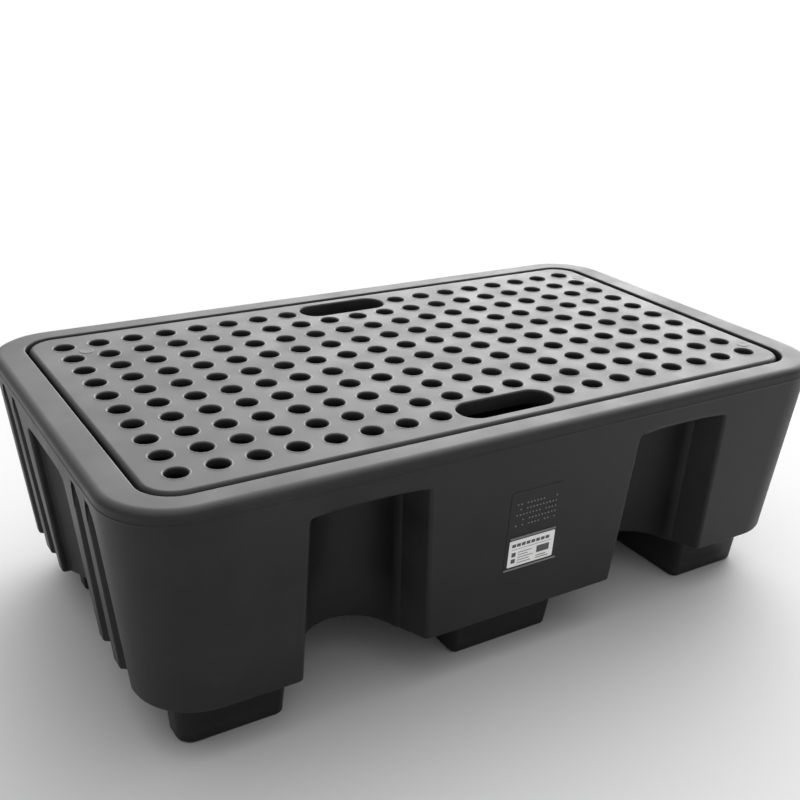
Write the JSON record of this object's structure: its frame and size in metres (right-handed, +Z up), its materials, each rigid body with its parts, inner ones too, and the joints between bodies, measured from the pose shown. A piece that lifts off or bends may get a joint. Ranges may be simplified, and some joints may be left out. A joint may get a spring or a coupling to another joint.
{
  "type": "spill containment pallet",
  "caption": "Low rectangular sump pallet with a lift-out perforated deck, hand slots, scooped side bays and hollow feet with fork ways between them.",
  "frame": {"origin": "centre of the footprint, on the floor that the feet stand on", "axes": "+X along the length, +Z up, the labelled long side faces -Y"},
  "size_m": [1.3, 0.75, 0.41],
  "materials": {
    "tub": "black moulded polyethylene, satin, faintly mottled",
    "deck": "black moulded polyethylene, satin, lightly worn",
    "plug": "grey polyethylene, matt",
    "label": "white printed film"
  },
  "bodies": {
    "tub": {"sump_tub": "tub", "rating_label": "label"},
    "deck": {"deck_grating": "deck", "deck_plug_1": "plug", "deck_plug_2": "plug", "deck_plug_3": "plug"}
  },
  "joints": [
    {"name": "deck_lift", "type": "slide", "parent": "tub", "child": "deck", "axis": [0, 0, 1], "range_m": [0, 0.15]}
  ]
}
